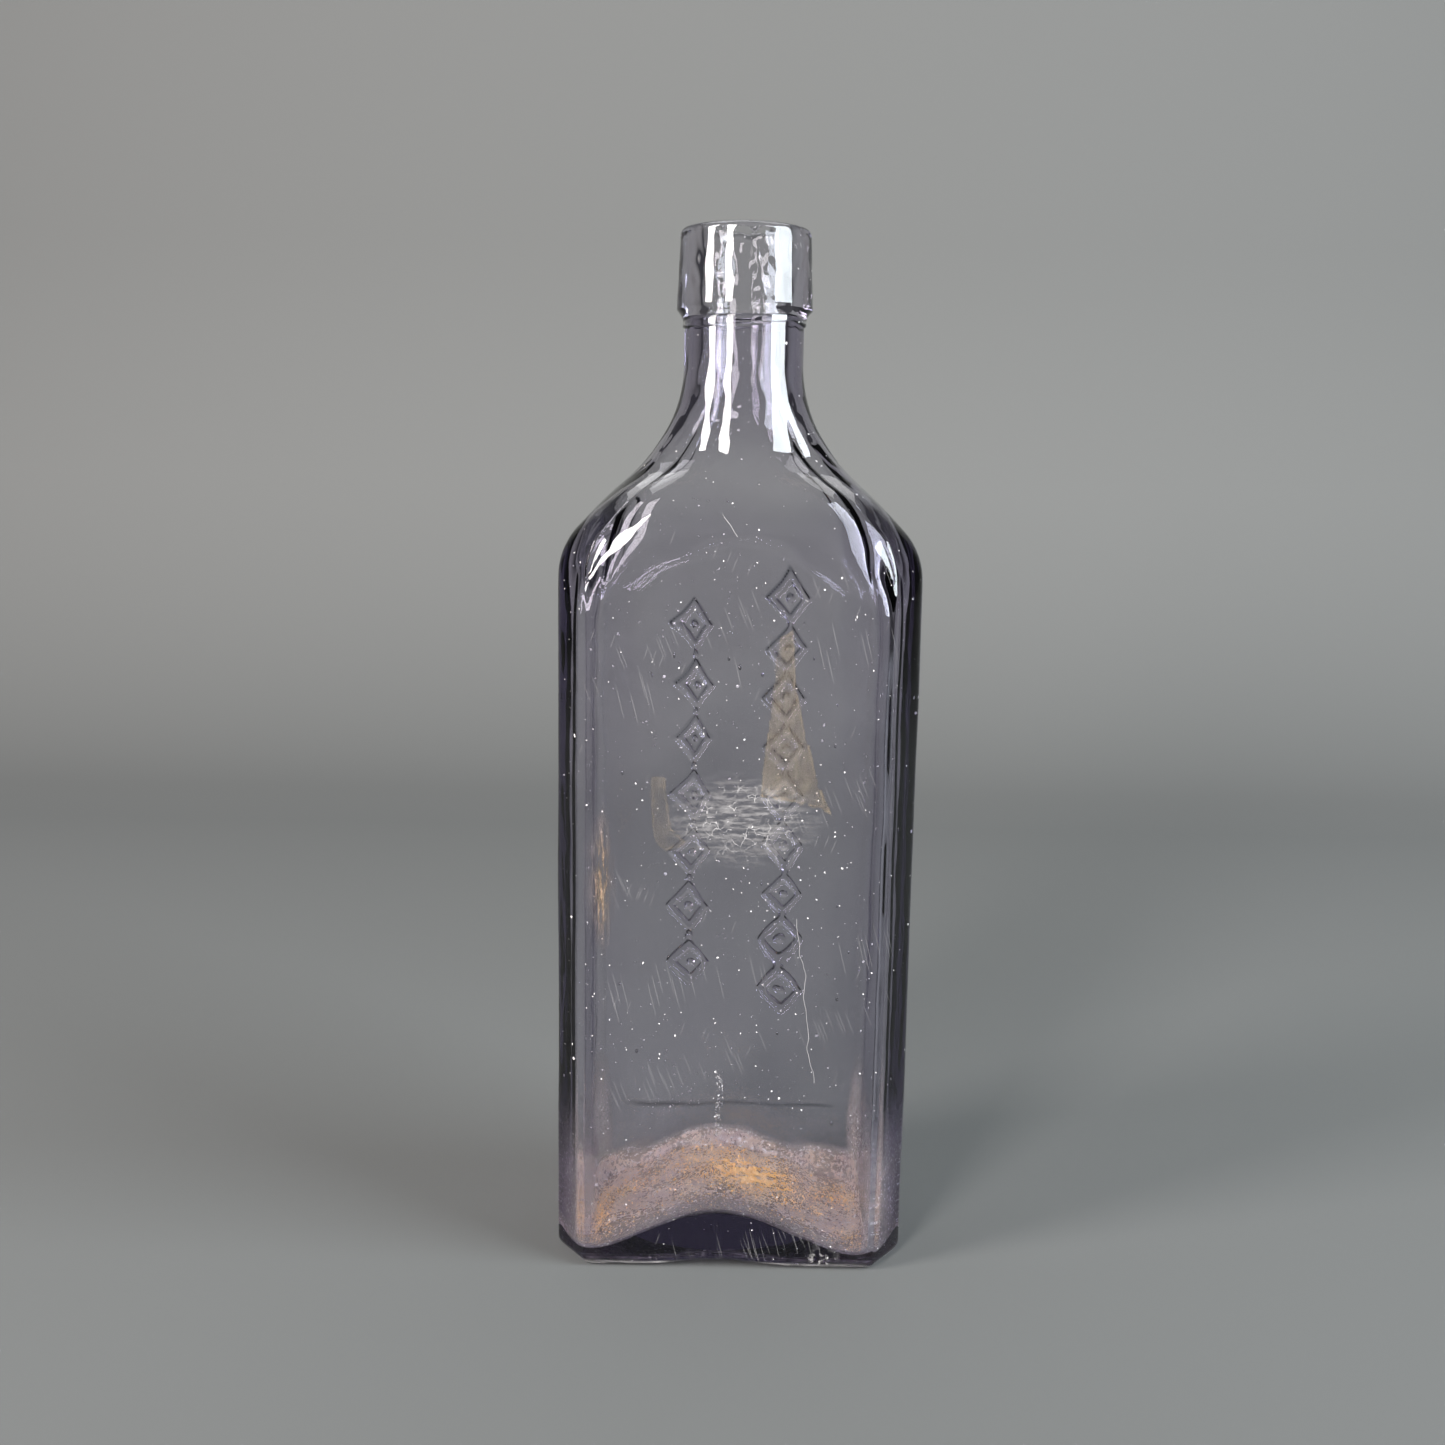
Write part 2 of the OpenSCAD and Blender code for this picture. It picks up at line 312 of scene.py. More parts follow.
def underside_ring(share):
    """A ring of the underside, shrunk to a share of its outermost one."""
    x, y = section(ANGLES, 0.0, HEEL_R, HEEL_R, OUTER_POWER)
    return np.stack([x * share, y * share, hollow(x * share)], -1)


def inner_section(angles, z):
    """A section of the inner wall, which thins in the shoulders."""
    neckness = (HALF_W - half_width(z)) / (HALF_W - NECK_R)
    neck_wall = NECK_R - BORE_R
    left = 1 - SHOULDER_THIN * np.sin(math.pi * neckness)
    inset_w = left * mix(SIDE_WALL, neck_wall, neckness)
    inset_d = left * mix(FACE_WALL, neck_wall, neckness)
    bevel_size = mix(INNER_BEVEL, 1, ease((z - SHOULDER_Z + BEVEL_LEAD) / BEVEL_GROW))
    x, y = section(angles, z, inset_w, inset_d, INNER_POWER, bevel_size)
    return x - LEAN * (1 - neckness), y


def inner_ring(z):
    x, y = inner_section(ANGLES, z)
    return np.stack([x, y, np.full_like(x, z)], -1)


def wall_ring(share):
    """A ring of the straight inner wall, from the floor's rounding (0) up to a height (1)."""
    x, y = inner_section(ANGLES, 0.0)
    return np.stack([x, y, mix(floor_z(x) + FLOOR_FILLET, STRAIGHT_TOP, share)], -1)


FLOOR_BUMPS = waves(np.random.default_rng(31), 14, (7, 26), (900, 1000), 0.22)


def inner_floor(x, y):
    """Height of the inner floor, with the rounding where it meets the walls."""
    edge_x, edge_y = inner_section(np.linspace(0, 2 * math.pi, 1441), 0.0)
    heading = np.unwrap(np.arctan2(edge_y, edge_x))
    reach = np.interp(np.mod(np.arctan2(y, x), 2 * math.pi), heading, np.hypot(edge_x, edge_y))
    sine = np.clip(1 - (reach - np.hypot(x, y)) / FLOOR_FILLET, 0, 1)
    lift = FLOOR_FILLET * (1 - np.sqrt(1 - sine**2))
    bumps = ripple(np.stack([x, y, 0 * x], -1).reshape(-1, 3), FLOOR_BUMPS).reshape(x.shape)
    return floor_z(x) + lift + bumps * (1 - sine)


def floor_ring(share, pull=0.0):
    """A ring on the inner floor, pulled in from the walls and then shrunk to a share."""
    x, y = inner_section(ANGLES, 0.0)
    share = share * (1 - pull / np.hypot(x, y))
    x, y = x * share, y * share
    return np.stack([x, y, inner_floor(x, y)], -1)


def heights(*spans):
    """Heights from spans of (from, to, step); the end of the last span is included."""
    steps = [np.arange(low, high - step / 3, step) for low, high, step in spans]
    return np.concatenate(steps + [[spans[-1][1]]])


# the heel and the glass under the lip stay as they are, and the neck is crinkled
STILL_HEEL, NECK_Z, STILL_TOP = 4.0, 165.0, 202.0

SWELL = waves(np.random.default_rng(21), 10, (22, 60), (30, 120), 0.16)
PEEL = waves(np.random.default_rng(22), 40, (4, 11), (4, 14), 0.012)
STREAKS = waves(np.random.default_rng(23), 18, (7, 20), (90, 400), 0.13)
DIMPLES = waves(np.random.default_rng(24), 24, (9, 30), (9, 40), 0.07)
CRINKLES = waves(np.random.default_rng(25), 30, (2.2, 6), (4, 20), 0.07)


def wander(points, inside):
    """How far the glass-maker's ripples move points along their normals."""
    x, z = points[:, 0], points[:, 2]
    swell = ripple(points, SWELL)
    crinkle = ripple(points, CRINKLES)
    in_neck = ease((z - NECK_Z) / 20)
    outer = (0.5 * swell + ripple(points, PEEL)) * ease((z - STILL_HEEL) / 12)
    outer += 0.5 * crinkle * in_neck * ease(-x / 4)
    inner = swell + ripple(points, STREAKS) + ripple(points, DIMPLES)
    inner += crinkle * np.maximum(in_neck, 0.6 * ease((np.abs(x) - 26) / 4))
    inner *= ease((z - floor_z(x) - FLOOR_FILLET) / 10)
    return mix(outer, inner, inside) * (1 - ease((z - STILL_TOP) / 7))


def bubble(rng, middle, radius, length):
    """A closed hollow in the glass: its faces look inwards."""
    rows, around = 6, 10
    points = [middle + Vector((0, 0, length))]
    for j in range(1, rows):
        polar = math.pi * j / rows
        for i in range(around):
            turn = 2 * math.pi * i / around
            wobble = radius * rng.uniform(0.92, 1.08) * math.sin(polar)
            points.append(middle + Vector(
                (wobble * math.cos(turn), wobble * math.sin(turn), length * math.cos(polar))))
    points.append(middle - Vector((0, 0, length)))
    faces = []
    for i in range(around):
        k = (i + 1) % around
        faces.append((0, 1 + k, 1 + i))
        for j in range(rows - 2):
            low = 1 + j * around
            faces.append((low + i, low + k, low + around + k, low + around + i))
        last = 1 + (rows - 2) * around
        faces.append((last + i, last + k, len(points) - 1))
    return [tuple(p) for p in points], faces


SEED_COUNT = 26


def seeds(rng, count):
    """Middles, radii and half lengths of small bubbles in the broad walls."""
    for _ in range(count):
        side = rng.choice([-1, 1])
        place = Vector((rng.uniform(-30, 30), side * (HALF_D - FACE_WALL / 2 - 0.2),
                        rng.uniform(8, 158)))
        radius = rng.uniform(0.12, 0.38)
        yield place, radius, radius * rng.uniform(1.1, 3.0)


def build_body(material):
    """The body as one skin: underside, heel, outer wall, then down the inside to the floor."""
    rng = np.random.default_rng(7)
    underside = [underside_ring(share) for share in np.linspace(0, 1, 13)[1:]]
    turns = np.radians(np.linspace(0, 90, 9)[1:])
    heel = [outer_ring(HEEL_R * (1 - math.cos(t)), HEEL_R * (1 - math.sin(t))) for t in turns]
    outer = [outer_ring(z) for z in heights(*WALL_SPANS)]
    inner = [inner_ring(z) for z in heights((STRAIGHT_TOP, NECK_TOP, 1.3))[::-1]]
    inner += [wall_ring(k) for k in np.linspace(1, 0, 54)[1:-1]]
    fillet = [floor_ring(1.0, FLOOR_FILLET * (1 - math.sin(t)))
              for t in np.radians(np.linspace(88, 0, 9))]
    floor = [floor_ring(share, FLOOR_FILLET) for share in np.linspace(1, 0, 15)[1:-1]]
    outside = underside + heel + outer
    rings = np.array(outside + inner + fillet + floor)
    first = (0, 0, float(hollow(0.0)))
    last = (0, 0, float(inner_floor(np.array([0.0]), np.array([0.0]))[0]))
    points, faces = skin(rings, first, last)
    normals = point_normals(points, faces)
    inside = np.zeros(len(points))
    inside[1 + len(outside) * RING_POINTS:] = 1
    points = points + normals * wander(points, inside)[:, None]
    points, faces, inside = add_seeds(rng, points, faces, inside)
    body = mesh_object("glass_body_blown", points, faces, material)
    paint_masks(body, np.asarray(points), inside)
    return body


def add_seeds(rng, points, faces, inside):
    """The skin with the small bubbles added to it."""
    points, faces = points.tolist(), list(faces)
    for place, radius, length in seeds(rng, SEED_COUNT):
        more_points, more_faces = bubble(rng, place, radius, length)
        base = len(points)
        points += more_points
        faces += [tuple(base + k for k in face) for face in more_faces]
    return points, faces, np.concatenate([inside, np.zeros(len(points) - len(inside))])


CHIP_AT, CHIP_REACH = (21, -HALF_D, 2), (3.5, 4, 3.5)


def spot(u, v, middle, reach, spread):
    """1 in the middle of an oval, falling to 0 where the share of its reach is spread."""
    return ease(spread - np.hypot((u - middle[0]) / reach[0], (v - middle[1]) / reach[1]))


def paint(piece, masks):
    """Stores numbers on a mesh's points, for its material to read."""
    for name, values in masks.items():
        attribute = piece.data.attributes.new(name, "FLOAT", "POINT")
        attribute.data.foreach_set("value", np.asarray(values, np.float32))


def paint_masks(body, points, inside):
    """Where the glass is worn, scuffed, chipped or hazed, and where highlights are painted along the
    far fillet, as numbers on its points.
    """
    x, y, z = points.T
    above = z - floor_z(x)
    outside = 1 - inside
    front = (y < -0.9 * HALF_D) * outside
    # the floor's haze climbs the far corners, and a thinner veil hangs beside the floor
    far_rim = 2.0 + 4.5 * np.minimum(np.abs(x - PUSHUP_X) / 32, 1) ** 1.5 * ease((y - 2) / 12)
    haze = ease((far_rim - above) / 1.5 + 1) * mix(0.35, 1, ease((y + 19) / 12))
    veil = np.where(x > 0, 0.6, 0.4) * spot(np.abs(x), z, (34, 12), (4, 24), 1.2)
    # two pale arcs on the far edge of the haze: painted highlights along the top of the far fillet,
    # broken up by noise in the material
    along = np.maximum(ease(1.6 - np.abs(x + 16) / 8), ease(1.6 - np.abs(x - 13) / 6))
    fillet_highlight = ease(1.4 - np.abs(above - far_rim) / 0.45) * along * (y > 14)
    paint(body, {
        "worn": front,
        "scuff": front * spot(x, z, (1.5, 105), (13, 8), 1.5),
        "chip": ease(1.2 - np.linalg.norm((points - CHIP_AT) / CHIP_REACH, axis=1)),
        "rested": outside * ease((1.7 - z) / 0.4) * ease((np.abs(y) - HALF_D + 11) / 3),
        "haze": inside * np.maximum(haze, veil),
        "streak": inside * spot(x, z, (-29.5, 90), (2.2, 15), 1.3) * (y < 0),
        "fillet_highlight": inside * fillet_highlight,
    })


# ---------------------------------------------------------------- applied lip

def lip_profile():
    """The lip's closed outline as radius, height and how far each point may wander down."""
    joint = NECK_TOP + GLASS_GAP
    bore = [(BORE_R, z, 0) for z in np.linspace(joint, RIM_Z - MOUTH_ROUND, 16)]
    mouth = [(BORE_R + MOUTH_ROUND * (1 - math.cos(t)),
              RIM_Z - MOUTH_ROUND * (1 - math.sin(t)), 0)
             for t in np.radians(np.linspace(0, 90, 7)[1:])]
    rim = [(LIP_RIM_R - RIM_ROUND * (1 - math.cos(t)),
            RIM_Z - RIM_ROUND * (1 - math.sin(t)), 0)
           for t in np.radians(np.linspace(90, 0, 9))]
    low_edge = NECK_TOP + UNDERCUT
    share = np.linspace(0, 1, 18)[1:]
    outside = [(mix(LIP_RIM_R, LIP_LOW_R, k), mix(RIM_Z - RIM_ROUND, low_edge + 0.6, k), 0)
               for k in share]
    skirt_r = NECK_R + SKIRT_T
    under = [(LIP_LOW_R - 0.12, low_edge + 0.15, 0.2), (LIP_LOW_R - 0.5, low_edge - 0.35, 0.35),
             (mix(skirt_r, LIP_LOW_R, 0.3), NECK_TOP + 0.25, 0.5),
             (skirt_r + 0.1, NECK_TOP - 0.5, 0.7)]
    skirt = [(skirt_r, mix(NECK_TOP - 0.8, SKIRT_LOW + 0.35, k), mix(0.8, 1, k))
             for k in np.linspace(0, 1, 4)]
    tip = [(skirt_r - 0.14, SKIRT_LOW + 0.08, 1), (NECK_R + 0.16, SKIRT_LOW, 1),
           (NECK_R + 0.05, SKIRT_LOW + 0.12, 1)]
    lap = [(NECK_R + 0.05, mix(SKIRT_LOW + 0.5, joint, k), 1 - k) for k in np.linspace(0, 1, 4)]
    butt = [(mix(NECK_R + 0.05, BORE_R, k), joint, 0) for k in (0.33, 0.66)]
    return np.array(bore + mouth + rim + outside + under + skirt + tip + lap + butt)


# the skirt's uneven lower edge: waves round the neck, and the size of each
SLOP = [(1, 0.5), (2, 0.35), (3, 0.3), (5, 0.22), (9, 0.12), (14, 0.08)]


def build_lip(material):
    """The profile carried round the neck, with the drag marks of the lipping tool."""
    rng = np.random.default_rng(11)
    profile = lip_profile()[::-1]
    around = 192
    turn = np.linspace(0, 2 * math.pi, around, endpoint=False)
    slop = sum(size * np.sin(k * turn + rng.uniform(0, 6.3)) for k, size in SLOP)
    radius, height, loose = profile.T
    z = height + np.maximum(slop + 0.8, 0)[:, None] * loose
    r = np.broadcast_to(radius, z.shape)
    ring = np.stack([r * np.cos(turn)[:, None], r * np.sin(turn)[:, None], z], -1)
    points = ring.reshape(-1, 3)
    count = len(profile)
    row = np.arange(around)[:, None]
    column = np.arange(count)
    here, beside = row * count, (row + 1) % around * count
    after = (column + 1) % count
    corners = [here + column, beside + column, beside + after, here + after]
    faces = np.stack(corners, -1).reshape(-1, 4).tolist()
    normals = point_normals(points, faces)
    free = ease((points[:, 2] - NECK_TOP - 1.5) / 4)
    drag = ripple(points, waves(rng, 30, (2.0, 6), (3, 14), 0.08))
    swell = ripple(points, waves(rng, 12, (8, 20), (6, 20), 0.08))
    in_bore = np.hypot(points[:, 0], points[:, 1]) < (BORE_R + LIP_RIM_R) / 2
    shift = free * np.where(in_bore, 1.3 * drag, 0.2 * drag) + 0.7 * free * swell
    points = points + normals * shift[:, None]
    return mesh_object("applied_lip_tooled", points, faces, material)


# ---------------------------------------------------------------- dried residue

CRUST_NOISE = waves(np.random.default_rng(41), 90, (1.0, 5), (900, 1000), 1.0)
# middle x and y, reach in x and y, weight
DEPOSITS = [(5, 4, 12, 9, 1.4), (-31, -4, 3, 12, 0.9), (28, 9, 5, 5, 0.8),
            (-22, 8, 7, 5, 0.35), (29, -13, 4, 5, 0.4), (-6, 13, 10, 4, 0.3)]


def deposit(x, y):
    """How much has dried on each place of the floor."""
    return sum(weight * np.exp(-((x - u) / a) ** 2 - ((y - v) / b) ** 2)
               for u, v, a, b, weight in DEPOSITS)


def whole_cells(corner):
    """The cells of a grid that have all four corners."""
    return corner[:-1, :-1] & corner[1:, :-1] & corner[1:, 1:] & corner[:-1, 1:]


def build_crust(material):
    """The crust on the floor: ragged islands, and loose grains all around them."""
    rng = np.random.default_rng(43)
    x, y = np.meshgrid(np.arange(-36, 36.1, 0.35), np.arange(-19.6, 19.7, 0.35), indexing="ij")
    flat = np.stack([x, y, 0 * x], -1).reshape(-1, 3)
    noise = ripple(flat, CRUST_NOISE).reshape(x.shape)
    cover = deposit(x, y) + 0.55 * noise - 1.0
    edge = inner_section(np.arctan2(y / HALF_D, x / HALF_W), 0.0)
    reachable = np.hypot(x, y) < np.hypot(*edge) - 1.6
    base = inner_floor(x, y)
    thick = 0.05 + 0.35 * np.clip(cover, 0, 1) * (0.65 + 0.35 * rng.uniform(-1, 1, x.shape))
    low = np.stack([x, y, base + 0.05], -1)
    high = np.stack([x, y, base + 0.05 + thick], -1)
    points, faces = patch(low, high, whole_cells((cover > 0) & reachable))
    grain_points, grain_faces = grains(rng, GRAIN_COUNT)
    faces += [tuple(len(points) + k for k in face) for face in grain_faces]
    points = np.concatenate([points, grain_points])
    return mesh_object("floor_residue_crust", points, faces, material, 30)


GRAIN_COUNT = 9000
OCTAHEDRON = [(1, 0, 0), (-1, 0, 0), (0, 1, 0), (0, -1, 0), (0, 0, 1), (0, 0, -1)]
OCTAHEDRON_FACES = [(0, 2, 4), (2, 1, 4), (1, 3, 4), (3, 0, 4), (2, 0, 5), (1, 2, 5),
                    (3, 1, 5), (0, 3, 5)]


def grains(rng, count):
    """Loose grains: small uneven octahedra lying on the floor."""
    points, faces = [], []
    while len(faces) < len(OCTAHEDRON_FACES) * count:
        x, y = rng.uniform(-35, 35), rng.uniform(-18.5, 18.5)
        edge = inner_section(np.array([math.atan2(y / HALF_D, x / HALF_W)]), 0.0)
        if math.hypot(x, y) > math.hypot(*(float(e[0]) for e in edge)) - 1.2:
            continue
        if rng.uniform(0, 1) > 0.05 + deposit(x, y):
            continue
        size = rng.uniform(0.06, 0.17) * (1 + 1.2 * (rng.uniform(0, 1) > 0.93))
        z = float(inner_floor(np.array([x]), np.array([y]))[0]) + 0.06 + size
        turn = Matrix.Rotation(rng.uniform(0, 6.28), 3, Vector(rng.normal(size=3)).normalized())
        base = len(points)
        for axis in OCTAHEDRON:
            spread = size * rng.uniform(0.65, 1.0)
            points.append(tuple(Vector((x, y, z)) + turn @ Vector(axis) * spread))
        faces += [tuple(base + k for k in face) for face in OCTAHEDRON_FACES]
    return np.array(points), faces


def inside_outline(x, z, outline):
    """How far inside a polygon each point lies, and negative outside it."""
    distance = np.full(x.shape, np.inf)
    inside = np.zeros(x.shape, bool)
    for (x0, z0), (x1, z1) in zip(outline, outline[1:] + outline[:1]):
        share = ((x - x0) * (x1 - x0) + (z - z0) * (z1 - z0)) / math.hypot(x1 - x0, z1 - z0) ** 2
        share = np.clip(share, 0, 1)
        distance = np.minimum(distance, np.hypot(x - mix(x0, x1, share), z - mix(z0, z1, share)))
        crossed = (z0 > z) != (z1 > z)
        inside ^= crossed & (x < x0 + (z - z0) * (x1 - x0) / (z1 - z0 + 1e-12))
    return np.where(inside, distance, -distance)


# how strongly each film shows, and its outline as x and z
STAINS = [(0.7, [(6, 101), (7.5, 121), (9, 141), (13, 143), (15, 128), (17, 120), (24, 97),
                 (14, 100)]),
          (0.35, [(-20, 90), (-21, 106), (-17, 106), (-15, 94), (-11, 89), (-17, 87)])]


def stain(outline):
    """Points and faces of a thin ragged film inside an outline on the back wall."""
    xs, zs = zip(*outline)
    x, z = np.meshgrid(np.arange(min(xs), max(xs), 0.4), np.arange(min(zs), max(zs), 0.4),
                       indexing="ij")
    wall = np.stack([x, np.full_like(x, HALF_D - FACE_WALL), z], -1).reshape(-1, 3)
    moved = wander(wall, 1).reshape(x.shape)
    ragged = inside_outline(x, z, outline) + 0.8 * ripple(wall, CRUST_NOISE).reshape(x.shape)
    _, y = inner_section(np.arctan2(1, x / (HALF_W - SIDE_WALL)), 0.0)
    low = np.stack([x, y - moved - 0.02, z], -1)
    return patch(low, low - (0, 0.06, 0), whole_cells(ragged > 0))


def build_stains(material):
    """The films that have dried on the inside of the back wall, following its ripples."""
    all_points, all_faces, all_cover, all_strength = [], [], [], []
    for strength, outline in STAINS:
        points, faces = stain(outline)
        base = sum(len(p) for p in all_points)
        all_points.append(points)
        all_faces += [tuple(base + k for k in face) for face in faces]
        inset = inside_outline(points[:, 0], points[:, 2], outline)
        all_cover.append(np.clip(inset / 2.5, 0, 1))
        all_strength.append(np.full(len(points), strength))
    film = mesh_object("wall_residue_film", np.concatenate(all_points), all_faces, material)
    paint(film, {"cover": np.concatenate(all_cover), "strength": np.concatenate(all_strength)})
    return film


# ---------------------------------------------------------------- materials

def add(tree, kind, inputs=(), **settings):
    """A new node. An input is a plain value or another node's output."""
    node = tree.nodes.new(kind)
    for key, value in settings.items():
        setattr(node, key, value)
    for key, value in dict(inputs).items():
        if isinstance(value, bpy.types.NodeSocket):
            tree.links.new(value, node.inputs[key])
        else:
            node.inputs[key].default_value = value
    return node


def compute(tree, operation, *values):
    """One step of arithmetic."""
    node = add(tree, "ShaderNodeMath", enumerate(values), operation=operation)
    return node.outputs[0]


def chain(tree, operation, values):
    """The values joined one after another by the same operation."""
    total = values[0]
    for value in values[1:]:
        total = compute(tree, operation, total, value)
    return total


def times(tree, *values):
    return chain(tree, "MULTIPLY", values)


def highest(tree, *masks):
    return chain(tree, "MAXIMUM", masks)


def blend(tree, share, first, second):
    """The first colour where the share is 0, and the second one where it is 1."""
    node = add(tree, "ShaderNodeMix", {"Factor": share, "A": first, "B": second},
               data_type="RGBA")
    return node.outputs["Result"]


def painted(tree, name):
    return add(tree, "ShaderNodeAttribute", attribute_name=name).outputs["Fac"]


def noise(tree, place, size, detail=3.0, roughness=0.6):
    """Noise from 0 to 1 whose lumps have a size in millimetres."""
    node = add(tree, "ShaderNodeTexNoise",
               {"Vector": place, "Scale": 1 / (size * MM), "Detail": detail, "Roughness": roughness})
    return node.outputs["Fac"]


def ramp(tree, value, low, high):
    """0 at low and 1 at high, whichever of the two is the greater, and level beyond them."""
    node = add(tree, "ShaderNodeMapRange", {"Value": value, "From Min": low, "From Max": high})
    return node.outputs["Result"]


def scaled(tree, place, scale):
    """Scaled places: a pattern looks drawn out along an axis whose scale is small."""
    return add(tree, "ShaderNodeMapping", {"Vector": place, "Scale": scale}).outputs[0]


def specks(tree, place, spacing, size, share):
    """Dots up to a size in millimetres, on a share of the cells of a random grid."""
    cells = add(tree, "ShaderNodeTexVoronoi", {"Vector": place, "Scale": 1 / (spacing * MM)})
    luck = add(tree, "ShaderNodeSeparateColor", {"Color": cells.outputs["Color"]})
    reach = times(tree, luck.outputs[0], size / spacing)
    dot = compute(tree, "LESS_THAN", cells.outputs["Distance"], reach)
    return times(tree, dot, compute(tree, "LESS_THAN", luck.outputs[1], share))


def jitter(tree, place, size, amount):
    """The same places, each moved a little, so that shapes get uneven outlines."""
    random = add(tree, "ShaderNodeTexNoise", {"Vector": place, "Scale": 1 / (size * MM)})
    middle = add(tree, "ShaderNodeVectorMath",
                 {0: random.outputs["Color"], 1: (0.5, 0.5, 0.5)}, operation="SUBTRACT")
    shift = add(tree, "ShaderNodeVectorMath",
                {0: middle.outputs[0], "Scale": 2 * amount * MM}, operation="SCALE")
    moved = add(tree, "ShaderNodeVectorMath", {0: place, 1: shift.outputs[0]}, operation="ADD")
    return moved.outputs[0]


def scratches(tree, place, angle, width, length, share):
    """Short straight scratches at an angle from upright."""
    turned = add(tree, "ShaderNodeMapping",
                 {"Vector": place, "Rotation": (0, math.radians(angle), 0)})
    split = add(tree, "ShaderNodeSeparateXYZ", {"Vector": turned.outputs[0]})
    flat = add(tree, "ShaderNodeCombineXYZ", {
        "X": times(tree, split.outputs["X"], 1 / (12 * width * MM)),
        "Y": times(tree, split.outputs["Z"], 1 / (2.5 * length * MM))})
    cells = add(tree, "ShaderNodeTexVoronoi", {"Vector": flat.outputs[0], "Scale": 1.0},
                voronoi_dimensions="2D")
    luck = add(tree, "ShaderNodeSeparateColor", {"Color": cells.outputs["Color"]})
    thin = compute(tree, "LESS_THAN", cells.outputs["Distance"], 0.06)
    return times(tree, thin, compute(tree, "LESS_THAN", luck.outputs[1], share))


def hair_line(tree, place, start, end, width):
    """One long thin scratch on the front, between two points given as (x, z)."""
    bend = add(tree, "ShaderNodeTexNoise", {"Vector": place, "Scale": 90.0, "Detail": 2.0})
    shift = times(tree, compute(tree, "SUBTRACT", bend.outputs["Fac"], 0.5), 5 * MM)
    split = add(tree, "ShaderNodeSeparateXYZ", {"Vector": place})
    (x0, z0), (x1, z1) = start, end
    length = math.hypot(x1 - x0, z1 - z0)
    ux, uz = (x1 - x0) / length, (z1 - z0) / length
    x = compute(tree, "SUBTRACT", split.outputs["X"], x0 * MM)
    z = compute(tree, "SUBTRACT", split.outputs["Z"], z0 * MM)
    along = compute(tree, "MULTIPLY_ADD", x, ux, times(tree, z, uz))
    across = compute(tree, "MULTIPLY_ADD", x, uz, times(tree, z, -ux))
    across = compute(tree, "ABSOLUTE", compute(tree, "ADD", across, shift))
    near = compute(tree, "LESS_THAN", across, width / 2 * MM)
    after = compute(tree, "GREATER_THAN", along, 0.0)
    before = compute(tree, "LESS_THAN", along, length * MM)
    front = compute(tree, "LESS_THAN", split.outputs["Y"], -0.5 * HALF_D * MM)
    return times(tree, near, after, before, front)


CLEAR = (1, 1, 1, 1)
TINT = (0.25, 0.185, 0.41, 1)
TINT_DENSITY = 90.0
LIP_DENSITY = 30.0
DUST = (0.93, 0.90, 0.87, 1)
TAN = (1.0, 0.82, 0.62, 1)
MAUVE = (0.60, 0.49, 0.47, 1)
GOLD = (0.90, 0.64, 0.34, 1)


def start_material(name):
    """An empty material, its node tree and the places it is worked out from."""
    material = bpy.data.materials.new(name)
    material.use_nodes = True
    tree = material.node_tree
    tree.nodes.clear()
    place = add(tree, "ShaderNodeTexCoord").outputs["Object"]
    return material, tree, place


def glass_output(tree, cover, dirt, tint_density):
    """Clear glass, tinted through its thickness, dulled where dirt or wear covers it."""
    colour = blend(tree, compute(tree, "GREATER_THAN", cover, 0.02), CLEAR, dirt)
    clean = compute(tree, "SUBTRACT", 1.0, cover)
    rough = times(tree, cover, 0.6)
    surface = add(tree, "ShaderNodeBsdfPrincipled",
                  {"Base Color": colour, "Roughness": rough, "IOR": 1.5,
                   "Transmission Weight": clean})
    depth = add(tree, "ShaderNodeVolumeAbsorption", {"Color": TINT, "Density": tint_density})
    add(tree, "ShaderNodeOutputMaterial",
        {"Surface": surface.outputs[0], "Volume": depth.outputs[0]})


def matt_output(tree, colour, roughness, **more):
    """A surface that isn't glass, with any further inputs of its shader."""
    surface = add(tree, "ShaderNodeBsdfPrincipled",
                  {"Base Color": colour, "Roughness": roughness, **more})
    add(tree, "ShaderNodeOutputMaterial", {"Surface": surface.outputs[0]})


def violet_glass():
    """The body's glass, with the dust and wear outside and the dried veil inside."""
    material, tree, place = start_material("violet_glass")
    uneven = jitter(tree, place, 0.35, 0.35)
    dust = highest(tree, specks(tree, uneven, 1.8, 0.18, 0.4),
                   specks(tree, uneven, 5.0, 0.40, 0.3))
    smear = times(tree, hair_line(tree, place, (-2.9, 32), (-2.8, 48), 1.4),
                  ramp(tree, noise(tree, place, 0.6, 6, 0.8), 0.57, 0.62))
    fine = highest(tree, scratches(tree, place, 14, 0.035, 26, 0.10),
                   scratches(tree, place, 22, 0.03, 18, 0.12),
                   scratches(tree, place, -20, 0.03, 10, 0.05))
    lines = highest(tree, hair_line(tree, place, (14, 83), (18, 45), 0.08),
                    hair_line(tree, place, (-9, 176), (-1, 166), 0.10))
    wear = times(tree, painted(tree, "worn"),
                 highest(tree, times(tree, fine, 0.22), times(tree, lines, 0.35)))
    cover = highest(tree, times(tree, highest(tree, dust, smear), 0.9), wear,
                    scuffs(tree, place), chips(tree, place), haze(tree, place),
                    base_wear(tree, place))
    glass_output(tree, cover, dirt_colour(tree, place), TINT_DENSITY)
    return material


